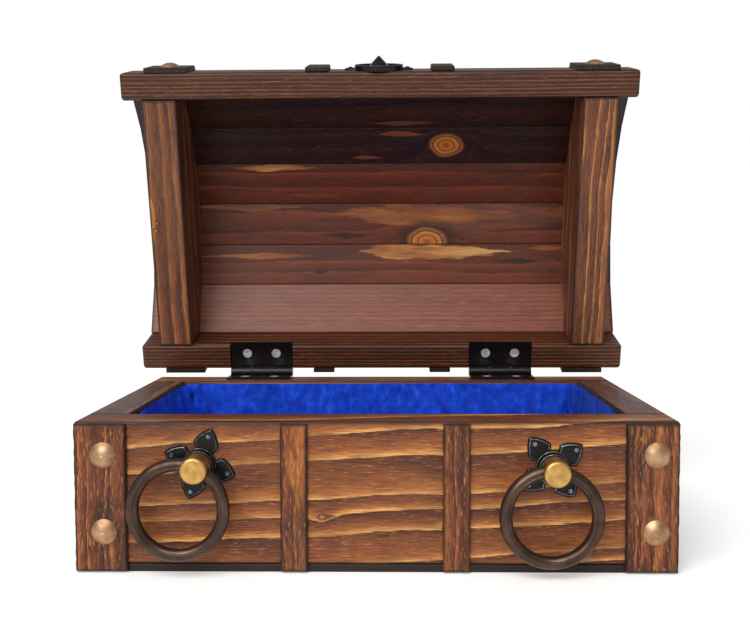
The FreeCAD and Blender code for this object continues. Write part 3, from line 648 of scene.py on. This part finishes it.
class Finish(Enum):
    """Metals of the fittings."""

    # stamped brass domes, gone dull and pinkish
    NAIL = Metal("aged_brass_dome", "#BC9674", "#987656", rough=0.42, patch=6.0)
    # turned brass, rubbed satin by the ring
    POST = Metal("satin_turned_brass", "#D2A866", "#B48A4C", rough=0.36, patch=4.0, dent=0.05)
    # brass wire darkened to bronze
    RING = Metal("dark_bronze_patina", "#56443A", "#43342C", metallic=0.9, rough=0.3, patch=9.0, dent=0.04)
    # pressed iron under black lacquer
    IRON = Metal("black_lacquered_iron", "#100F10", "#080708", metallic=0.1, rough=0.26, shine=0.25)
    # the same iron, rubbed bare along its edges
    RUBBED = Metal("rubbed_bare_iron", "#A6A3A2", "#5A5858", rough=0.34, patch=3.0)
    # rolled steel, japanned black
    HINGE = Metal("black_japanned_steel", "#14100E", "#0B0908", metallic=0.2, rough=0.26, patch=6.0,
                  shine=0.35)
    # drawn iron, heads scraped bright
    PIN = Metal("scraped_iron_pin", "#86858A", "#48474C", rough=0.36, patch=1.5)
    # cut steel under bright zinc
    ZINC = Metal("zinc_plated_screw", "#F2F0EC", "#C4C2BC", metallic=0.7, rough=0.35, patch=2.0)


def dress(node: str, material: bpy.types.Material) -> None:
    """Give a CAD node its finish.

    Args:
        node: name of the CAD node.
        material: the finish.
    """
    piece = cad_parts[node]
    piece.data.materials.clear()
    piece.data.materials.append(material)
    LOG.info("dressed %s in %s", node, material.name)


def cut(node: str, lay: Lay, pine: Pine) -> bpy.types.Material:
    """Make the finish of a board from its own size.

    Args:
        node: name of the CAD node.
        lay: how the board lies.
        pine: the cut of wood.

    Returns:
        The finish.
    """
    return pine.material(lay, *lay.box(node))


def keep(bm: bmesh.types.BMesh, name: str, body: str,
         materials: tuple[bpy.types.Material, ...], nodes: tuple[str, ...],
         crisp: float = math.pi) -> bpy.types.Object:
    """Turn a bmesh into a piece that rides on a body.

    Args:
        bm: the shape, freed here.
        name: name of the piece.
        body: body that carries it.
        materials: its finishes.
        nodes: CAD nodes that it stands for.
        crisp: angle from which an edge is not shaded smooth.

    Returns:
        The new object.
    """
    mesh = bpy.data.meshes.new(name)
    bm.to_mesh(mesh)
    bm.free()
    mesh.shade_smooth()
    mesh.set_sharp_from_angle(angle=crisp)
    for material in materials:
        mesh.materials.append(material)
    piece = bpy.data.objects.new(name, mesh)
    bpy.context.scene.collection.objects.link(piece)
    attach(piece, body)
    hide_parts(*nodes)
    LOG.info("built %s on %s", name, body)
    return piece


@dataclass(frozen=True)
class WornCopy:
    """A CAD piece with its outer edges broken, which carry a finish of their own."""

    node: str
    body: str
    slot: str
    width: float
    sharp: float = math.radians(30.0)
    crisp: float = math.radians(24.0)
    flat: float = math.radians(0.5)
    touch: float = 1e-6

    def build(self, skin: bpy.types.Material, edge: bpy.types.Material) -> None:
        """Make the worn piece.

        Args:
            skin: finish of the faces.
            edge: finish of the broken edges.
        """
        bm = bmesh.new()
        bm.from_mesh(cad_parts[self.node].data)
        bmesh.ops.remove_doubles(bm, verts=bm.verts, dist=self.touch)
        bmesh.ops.dissolve_limit(bm, angle_limit=self.flat, verts=bm.verts, edges=bm.edges)
        for face in bm.faces:
            face.material_index = 0
        arrises = [e for e in bm.edges
                   if e.is_manifold and e.is_convex and e.calc_face_angle() > self.sharp]
        broken = bmesh.ops.bevel(bm, geom=arrises, offset=self.width, offset_type="OFFSET", segments=2,
                                 profile=0.5, affect="EDGES", clamp_overlap=True, material=-1)
        for face in broken["faces"]:
            face.material_index = 1
        bmesh.ops.recalc_face_normals(bm, faces=bm.faces)
        keep(bm, f"{self.node}_worn", self.body, (skin, edge), (self.node,), self.crisp)


@dataclass(frozen=True)
class HewnStrap:
    """A split strip of pine with wavy sides, rounded arrises and shallow tool marks."""

    node: str
    outward: float
    columns: int = 20
    rows: int = 70
    gather: float = 1.7
    round_over: float = 0.0014
    ragged: float = 0.0007
    dent: float = 0.0003
    wave: float = 160.0
    mark_across: float = 5.0
    fall_off: float = 1.0
    closer: float = 2.0
    layers: int = 3
    crisp: float = math.radians(50.0)

    def build(self, pine: bpy.types.Material) -> None:
        """Hew the strip.

        Args:
            pine: its finish.
        """
        low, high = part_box(self.node)
        middle, half = (low + high) / 2, (high - low) / 2
        face, back = (high.y, low.y) if self.outward > 0 else (low.y, high.y)
        bm = bmesh.new()
        bmesh.ops.create_grid(bm, x_segments=self.columns, y_segments=self.rows, size=1.0)
        for vert in bm.verts:
            side = math.copysign(1 - (1 - abs(vert.co.x)) ** self.gather, vert.co.x)
            end = math.copysign(1 - (1 - abs(vert.co.y)) ** self.gather, vert.co.y)
            x, z = middle.x + side * half.x, middle.z + end * half.z
            wide = half.x - self.ragged * self.wander(math.copysign(half.x, side), z)
            tall = half.z - self.ragged * self.wander(x, math.copysign(half.z, end))
            gap = min(wide * (1 - abs(side)), tall * (1 - abs(end)))
            bite = max(0.0, self.round_over - gap)
            fall = self.round_over - math.sqrt(max(0.0, self.round_over ** 2 - bite ** 2))
            mark = self.dent * self.wander(self.mark_across * x, z)
            vert.co = (middle.x + side * wide, face - self.outward * (fall + mark), middle.z + end * tall)
        grown = bmesh.ops.extrude_face_region(bm, geom=bm.faces[:])
        for vert in grown["geom"]:
            if isinstance(vert, bmesh.types.BMVert):
                vert.co.y = back
        bmesh.ops.recalc_face_normals(bm, faces=bm.faces)
        keep(bm, f"{self.node}_hewn", "base", (pine,), (self.node,), self.crisp)

    def wander(self, x: float, z: float) -> float:
        """Random rise from 0 to 1 at a place on the strip."""
        spot = Vector((x, self.outward, z)) * self.wave
        return 0.5 + 0.5 * noise.fractal(spot, self.fall_off, self.closer, self.layers)


@dataclass
class Studio:
    """Pale floor, soft lights and the camera of the photograph."""

    floor_half: float = 6.0
    focal_px: float = 986.61
    image_wide: float = 750.0
    sensor: float = 36.0
    pitch: float = math.radians(3.44)
    yaw: float = math.radians(1.22)
    roll: float = math.radians(-0.20)
    spot: Point = (0.01051, -0.57542, 0.15705)
    aim: Point = (0.0, 0.0, 0.12)
    sky: float = 0.45
    sun_from: Point = (-0.3, -0.8, 0.95)
    sun_power: float = 2.1
    sun_wide: float = math.radians(50.0)
    window: Point = (-0.5, -1.3, 0.75)
    window_size: float = 0.9
    window_power: float = 5.0

    def build(self) -> None:
        """Make the floor, lights and camera."""
        self.floor()
        self.heaven()
        sun = bpy.data.lights.new("soft_sun", "SUN")
        sun.angle, sun.energy = self.sun_wide, self.sun_power
        self.hang(sun, self.sun_from)
        window = bpy.data.lights.new("front_window", "AREA")
        window.size, window.energy = self.window_size, self.window_power
        self.hang(window, self.window)
        self.camera()

    def heaven(self) -> None:
        """Make a sky that looks white and lights softly."""
        scene = bpy.context.scene
        scene.view_settings.view_transform = "Standard"
        g = Graph(bpy.data.worlds.new("white_sky"))
        seen = g.add("LightPath", out="Is Camera Ray")
        strength = g.add("MapRange", {"Value": seen, TO: (self.sky, 1.0)})
        light = g.add("Background", {"Color": linear("#FFFFFF"), "Strength": strength})
        g.add("OutputWorld", {"Surface": light})
        scene.world = g.owner

    def floor(self) -> None:
        """Lay a pale matt floor under the chest."""
        bm = bmesh.new()
        bmesh.ops.create_grid(bm, x_segments=1, y_segments=1, size=self.floor_half)
        mesh = bpy.data.meshes.new("floor")
        bm.to_mesh(mesh)
        bm.free()
        g = Graph(bpy.data.materials.new("pale_floor"))
        shader = g.add("BsdfPrincipled", {"Base Color": linear("#FDFDFC"), "Roughness": 0.9,
                                          "Specular IOR Level": 0.1, "Emission Color": linear("#FFFFFF"),
                                          "Emission Strength": 0.16})
        g.add("OutputMaterial", {"Surface": shader})
        mesh.materials.append(g.owner)
        piece = bpy.data.objects.new("floor", mesh)
        bpy.context.scene.collection.objects.link(piece)

    def hang(self, light: bpy.types.Light, spot: Point) -> None:
        """Hang a light so that it faces the chest.

        Args:
            light: the light.
            spot: its place.
        """
        holder = bpy.data.objects.new(light.name, light)
        holder.location = spot
        aim = Vector(self.aim) - Vector(spot)
        holder.rotation_euler = aim.to_track_quat("-Z", "Y").to_euler()
        bpy.context.scene.collection.objects.link(holder)

    def camera(self) -> None:
        """Set the camera where the photograph was taken from."""
        turn = (Matrix.Rotation(self.roll, 3, "Z") @ Matrix.Rotation(self.pitch, 3, "X")
                @ Matrix.Rotation(self.yaw, 3, "Y"))
        # rows of a level view to the back: right, down and ahead
        seen = turn @ Matrix(((1, 0, 0), (0, 0, -1), (0, 1, 0)))
        right, down, ahead = seen.row
        axes = Matrix((right, -down, -ahead)).transposed()
        data = bpy.data.cameras.new("camera")
        data.sensor_width = self.sensor
        data.lens = self.focal_px * self.sensor / self.image_wide
        holder = bpy.data.objects.new("camera", data)
        holder.matrix_world = Matrix.Translation(self.spot) @ axes.to_4x4()
        bpy.context.scene.collection.objects.link(holder)
        bpy.context.scene.camera = holder


STRIP = Pine("strip_pine", ramp=ROUGH, plain="#6E3F26", spacing=6.0, sway=6.0, sway_long=40.0,
             sway_wide=12.0, fade=0.5, fade_long=30.0, fade_wide=5.0, fibre_long=7.0, fibre_wide=0.7,
             fibre_depth=0.45, fleck=0.5, fleck_long=5.0, fleck_wide=0.6, scorch=0.85, scorch_long=40.0,
             scorch_wide=8.0, soot="#35221D", edge=1.5, relief=0.45, rough=0.55, coat=0.06)
RAIL = Pine("rail_pine", ramp=FINE, plain="#4C2614", spacing=2.45, sway=2.0, ragged=0.6, uneven=0.5,
            fade=0.4, fibre_depth=0.25, fleck=0.15, scorch_wide=6.0, soot="#2C150C")
PLANK = Pine("plank_pine", ramp=SHADED, plain="#582613", spacing=14.0, sway=12.0, fade=0.4,
             fibre_depth=0.2, fleck=0.1, scorch_wide=9.0, soot="#2E1912", edge=1.5, char="#140C09",
             relief=0.12, rough=0.36, coat=0.12)


@dataclass
class BaseBox:
    """Boards, straps and nails of the base."""

    flat: Lay = Lay(X, Z)
    sides: Lay = Lay(Y, Z)
    bottom: Lay = Lay(X, Y)
    upright: Lay = Lay(Z, X)
    bare: tuple[Flame, ...] = (Flame(22.0, 1.5, 20.0, 30.0, 7.0, tone=Tone.ORANGE, strength=0.7),)

    def build(self) -> None:
        """Hew the upright straps of the front and the back."""
        for turn, (face, outward) in enumerate((("front", -1.0), ("back", 1.0))):
            for count, name in enumerate(STRAPS):
                node = f"base_{face}_strap_{name}"
                pine = replace(STRIP, name=f"{face}_strap_{name}_pine", seed=6.0 + 1.7 * count + 0.6 * turn,
                               flames=self.bare if name == "left_middle" else ())
                HewnStrap(node, outward).build(cut(node, self.upright, pine))

    def dress(self) -> None:
        """Give each board its own cut."""
        front = Pine("front_board_pine", slope=-0.055, seed=1.3, knots=(Knot(-26.5, -12.0, 1.4, 2.8),),
                     flames=(Flame(-24.0, -12.6, 4.0, 7.0, 2.2, tone=Tone.SOOT, strength=0.6),))
        dress("base_front_board", cut("base_front_board", self.flat, front))
        back = Pine("back_board_pine", slope=0.04, seed=2.7)
        dress("base_back_board", cut("base_back_board", self.flat, back))
        for count, side in enumerate(SIDES):
            board = Pine(f"{side}_board_pine", ramp=DULL, plain="#5C3A2C", coat=0.25,
                         seed=3.1 + 1.5 * count)
            dress(f"base_{side}_board", cut(f"base_{side}_board", self.sides, board))
        bottom = Pine("charred_bottom_pine", ramp=DARKEST, plain="#2C1811", scorch=1.0, edge=6.0, seed=5.2)
        dress("base_bottom_board", cut("base_bottom_board", self.bottom, bottom))
        dress("base_dome_nails", Finish.NAIL.value.material())


PLANK_TILTS = (31.61, 17.38, 4.54, -8.49, -21.14, -33.39)
# the planks are painted darker from plank 1 to plank 6, with planks 5 and 6 in the darkest ramp
PLANKS = (
    replace(PLANK, name="plank_1_pine", ramp=MAUVE, plain="#783C26", spacing=3.4, sway=3.0, uneven=1.6,
            fibre_depth=0.24, scorch=0.3, soot="#54301F", seed=17.3),
    replace(PLANK, name="plank_2_pine", plain="#6C3420", seed=19.6,
            flames=(Flame(12.0, -9.0, 30.0, 85.0, 7.5),
                    Flame(-82.0, -6.0, 47.0, 46.0, 2.4, tone=Tone.ORANGE),
                    Flame(116.0, -11.0, 13.0, 14.0, 2.5, tone=Tone.ORANGE),
                    Flame(97.0, -1.7, 16.0, 16.0, 2.2, tone=Tone.SOOT),
                    Flame(-43.6, 5.0, 6.0, 6.0, 2.4, tone=Tone.SOOT))),
    replace(PLANK, name="plank_3_pine", seed=21.9,
            knots=(Knot(32.7, 13.0, 11.5),),
            flames=(Flame(60.0, -5.0, 30.0, 130.0, 11.0, tone=Tone.RUST),
                    Flame(20.0, -7.0, 55.0, 80.0, 9.0, tone=Tone.ORANGE),
                    Flame(-92.0, -12.5, 40.0, 42.0, 3.5, tone=Tone.ORANGE),
                    Flame(-25.0, 8.0, 16.0, 18.0, 2.6, tone=Tone.SOOT))),
    replace(PLANK, name="plank_4_pine", scorch=0.6, seed=24.2,
            flames=(Flame(-78.0, -12.0, 30.0, 33.0, 2.6),
                    Flame(-45.0, 8.0, 25.0, 25.0, 2.5, tone=Tone.RUST))),
    replace(PLANK, name="plank_5_pine", ramp=DARKEST, plain="#301A12", seed=26.5,
            knots=(Knot(44.9, -0.4, 10.5),),
            flames=(Flame(-10.0, 9.0, 14.0, 16.0, 2.5, tone=Tone.RUST),
                    Flame(12.0, -9.0, 14.0, 25.0, 3.0, tone=Tone.RUST))),
    replace(PLANK, name="plank_6_pine", ramp=DARKEST, plain="#2C1811", seed=28.8,
            flames=(Flame(10.0, 9.5, 14.0, 30.0, 2.0, tone=Tone.RUST),)),
)


@dataclass
class Lid:
    """Rails, end boards, planks, straps and pull of the lid."""

    level: Lay = Lay(X, Y, -LID_OPEN, HINGE_AXIS)
    ends: Lay = Lay(Y, X, -LID_OPEN, HINGE_AXIS)
    strap_break: float = 0.0008
    crest_break: float = 0.0003

    def build(self) -> None:
        """Break the edges of the straps and of the pull."""
        for count, name in enumerate(STRAPS):
            node = f"lid_strap_{name}"
            pine = replace(STRIP, name=f"{node}_pine", ramp=DARKEST, plain="#2C1A14", fleck=0.2,
                           seed=31.0 + 1.3 * count)
            burnt = replace(pine, name=f"{node}_charred", plain="#1C110D", soot="#16100E", scorch=1.0)
            worn = WornCopy(node, "lid", "strap_pine", self.strap_break)
            worn.build(cut(node, self.ends, pine), cut(node, self.ends, burnt))
        for node in ("lid_pull_plate", "lid_pull_stud"):
            worn = WornCopy(node, "lid", "black_iron", self.crest_break)
            worn.build(Finish.IRON.value.material(), Finish.RUBBED.value.material())

    def dress(self) -> None:
        """Give each board its own cut."""
        for count, side in enumerate(("front", "back")):
            rail = replace(RAIL, name=f"{side}_rail_pine", seed=11.4 + 1.5 * count)
            dress(f"lid_{side}_rail", cut(f"lid_{side}_rail", self.level, rail))
        left = Pine("left_end_pine", ramp=BANDED, plain="#6A4028", spacing=8.0, sway=7.0, sway_long=70.0,
                    sway_wide=20.0, fleck=0.2, seed=13.3,
                    knots=(Knot(2.0, -8.0, 1.2, 2.0), Knot(-3.0, -7.0, 1.0, 2.0)),
                    flames=(Flame(-4.0, -10.5, 24.0, 26.0, 3.4),))
        dress("lid_left_end", cut("lid_left_end", self.ends, left))
        right = Pine("right_end_pine", ramp=LINED, plain="#75442C", spacing=7.5, slope=0.03, sway=12.0,
                     sway_long=90.0, sway_wide=20.0, fleck=0.2, seed=15.2)
        dress("lid_right_end", cut("lid_right_end", self.ends, right))
        for count, (plank, tilt) in enumerate(zip(PLANKS, PLANK_TILTS), start=1):
            lay = Lay(X, Y, -LID_OPEN - math.radians(tilt), HINGE_AXIS)
            dress(f"lid_plank_{count}", cut(f"lid_plank_{count}", lay, plank))
        dress("lid_dome_nails", Finish.NAIL.value.material())
        dress("lid_pull_pins", Finish.PIN.value.material())


@dataclass
class RingPulls:
    """Plates, posts and rings of the two pulls."""

    plate_break: float = 0.0003

    def build(self) -> None:
        """Break the edges of the plates."""
        for side in SIDES:
            worn = WornCopy(f"{side}_pull_plate", "base", "black_iron", self.plate_break)
            worn.build(Finish.IRON.value.material(), Finish.RUBBED.value.material())

    def dress(self) -> None:
        """Give the pulls their metals."""
        for side in SIDES:
            dress(f"{side}_pull_post", Finish.POST.value.material())
            dress(f"{side}_pull_ring", Finish.RING.value.material())
        dress("pull_plate_pins", Finish.PIN.value.material())


@dataclass
class Hinges:
    """Leaves, pins and screws of the two hinges."""

    def dress(self) -> None:
        """Give the hinges their metals."""
        for side in SIDES:
            for part in ("base_leaf", "lid_leaf", "pin"):
                dress(f"{side}_hinge_{part}", Finish.HINGE.value.material())
        dress("hinge_base_screws", Finish.ZINC.value.material())
        dress("hinge_lid_screws", Finish.ZINC.value.material())


@dataclass
class Lining:
    """Velvet that lines the walls and the floor of the base."""

    rounds: int = 420
    rows: int = 36
    corner: float = 0.007
    lift: float = 0.0012
    near: float = 0.0003
    far: float = 0.0052
    puff: float = 0.0016
    fold: float = 0.0034
    pleat: float = 0.0125
    reach: float = 0.03
    spare: float = 0.006
    drift: float = 30.0
    drift_up: float = 2.0
    stray: float = 2.5
    patchy: float = 0.9
    touch: float = 1e-5
    moments: int = 24
    steps: int = 6
    weight: float = 0.1
    stiffness: float = 0.4
    seed: float = 4.2
    floor_columns: int = 160
    floor_rows: int = 90
    floor_drift: float = 40.0
    floor_ripple: float = 0.5
    floor_seed: float = 24.2

    def build(self) -> None:
        """Make the wall cloth and the floor cloth."""
        velvet = Velvet().material()
        low = Vector((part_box("lining_left")[0].x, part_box("lining_front")[0].y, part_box("lining_floor")[0].z))
        high = Vector((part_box("lining_right")[1].x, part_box("lining_back")[1].y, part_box("lining_back")[1].z))
        self.walls(low, high, velvet)
        self.floor(low, high, velvet)

    def walls(self, low: Vector, high: Vector, velvet: bpy.types.Material) -> None:
        """Run one strip of velvet round the four walls, puffed by a cloth simulation.

        Args:
            low: lowest corner of the room for the lining.
            high: highest corner.
            velvet: the finish.
        """
        core = Vector((high.x - self.corner, high.y - self.corner))
        arc = math.pi * self.corner / 2
        length = 4 * (core.x + core.y + arc)
        tall = high.z - low.z - self.lift
        bm = bmesh.new()
        bmesh.ops.create_grid(bm, x_segments=self.rounds, y_segments=self.rows, size=0.5)
        for vert in bm.verts:
            at, up = (vert.co.x + 0.5) * length, vert.co.y + 0.5
            spot, inward, corner = self.path(at, core, arc)
            slow = noise.noise(Vector((at * self.drift, up * self.drift_up, self.seed)))
            ripple = math.sin(2 * math.pi * at / self.pleat + self.stray * slow)
            belly = math.sin(math.pi * up) ** 0.5
            bulge = belly * self.puff * (1.0 + self.patchy * slow)
            gather = (0.5 + 0.5 * belly) * self.fold * corner * (1.0 + ripple)
            vert.co = spot + inward * (self.near + max(bulge, 0.0) + gather)
            vert.co.z = low.z + self.lift + up * tall
        bmesh.ops.remove_doubles(bm, verts=bm.verts, dist=self.touch)
        bmesh.ops.recalc_face_normals(bm, faces=bm.faces)
        cut_long = sum(face.calc_area() for face in bm.faces) / tall
        piece = keep(bm, "velvet_wall_cloth", "base", (velvet,),
                     ("lining_front", "lining_back", "lining_left", "lining_right"))
        self.settle(piece, core)

    def settle(self, piece: bpy.types.Object, core: Vector) -> None:
        """Let the spare cloth buckle between its glued edges, and keep it off the boards.

        Args:
            piece: the wall cloth.
            core: half of the room's width and depth, less the rounded corners.
        """
        mesh = piece.data
        heights = [v.co.z for v in mesh.vertices]
        edges = (min(heights) + self.near, max(heights) - self.near)
        glued = piece.vertex_groups.new(name="glued")
        glued.add([v.index for v in mesh.vertices if not edges[0] < v.co.z < edges[1]], 1.0, "ADD")
        cloth = piece.modifiers.new("velvet", "CLOTH")
        cloth.settings.vertex_group_mass = glued.name
        cloth.settings.shrink_min = -self.spare
        cloth.settings.quality = self.steps
        cloth.settings.mass = self.weight
        cloth.settings.bending_stiffness = self.stiffness
        cloth.settings.effector_weights.gravity = 0.0
        cloth.collision_settings.use_collision = False
        cloth.point_cache.frame_end = self.moments
        scene = bpy.context.scene
        for moment in range(1, self.moments + 1):
            scene.frame_set(moment)
        seen = piece.evaluated_get(bpy.context.evaluated_depsgraph_get())
        spots = [v.co.copy() for v in seen.data.vertices]
        piece.modifiers.remove(cloth)
        piece.vertex_groups.remove(glued)
        scene.frame_set(1)
        for vert, spot in zip(mesh.vertices, spots):
            hub = Vector((max(-core.x, min(core.x, spot.x)), max(-core.y, min(core.y, spot.y)), spot.z))
            out = spot - hub
            if out.length > 0.0:
                held = max(self.corner - self.far, min(self.corner - self.near, out.length))
                spot = hub + out.normalized() * held
            vert.co = spot
        mesh.update()

    def path(self, at: float, core: Vector, arc: float) -> tuple[Vector, Vector, float]:
        """Point of the rounded rectangle that the wall cloth follows.

        Args:
            at: way along the cloth from the left end of the front wall.
            core: half of the room's width and depth, less the rounded corners.
            arc: length of a rounded corner.

        Returns:
            The point, the direction into the box, and how near a corner it is, from 0 to 1.
        """
        spot = Vector((-core.x, -core.y - self.corner, 0.0))
        for turn, run in enumerate((2 * core.x, 2 * core.y, 2 * core.x, 2 * core.y)):
            ahead = Matrix.Rotation(turn * math.pi / 2, 3, "Z") @ Vector((1.0, 0.0, 0.0))
            left = Vector((-ahead.y, ahead.x, 0.0))
            if at <= run:
                return spot + ahead * at, left, max(0.0, 1.0 - min(at, run - at) / self.reach) ** 2
            at -= run
            spot = spot + ahead * run
            if at <= arc:
                out = Matrix.Rotation(at / self.corner, 3, "Z") @ -left
                return spot + (left + out) * self.corner, -out, 1.0
            at -= arc
            spot = spot + (left + ahead) * self.corner
        # what rounding leaves past the last corner is the start
        return Vector((-core.x, -core.y - self.corner, 0.0)), Vector((0.0, 1.0, 0.0)), 1.0

    def floor(self, low: Vector, high: Vector, velvet: bpy.types.Material) -> None:
        """Lay a piece of velvet on the bottom.

        Args:
            low: lowest corner of the room for the lining.
            high: highest corner.
            velvet: the finish.
        """
        half_x, half_y = high.x - self.lift, high.y - self.lift
        bm = bmesh.new()
        bmesh.ops.create_grid(bm, x_segments=self.floor_columns, y_segments=self.floor_rows, size=1.0)
        for vert in bm.verts:
            x, y = vert.co.x * half_x, vert.co.y * half_y
            ripple = noise.noise(Vector((x * self.floor_drift, y * self.floor_drift, self.floor_seed)))
            vert.co = (x, y, low.z + self.lift * (1.0 + self.floor_ripple * ripple))
        piece = keep(bm, "velvet_floor_cloth", "base", (velvet,), ("lining_floor",))


def main() -> None:
    """Build the chest's looks in order."""
    logging.basicConfig(level=logging.INFO, format="%(message)s")
    Studio().build()
    base, lid, pulls = BaseBox(), Lid(), RingPulls()
    for part in (base, lid, pulls, Lining()):
        part.build()
    for part in (base, lid, pulls, Hinges()):
        part.dress()


if __name__ == "__main__":
    main()
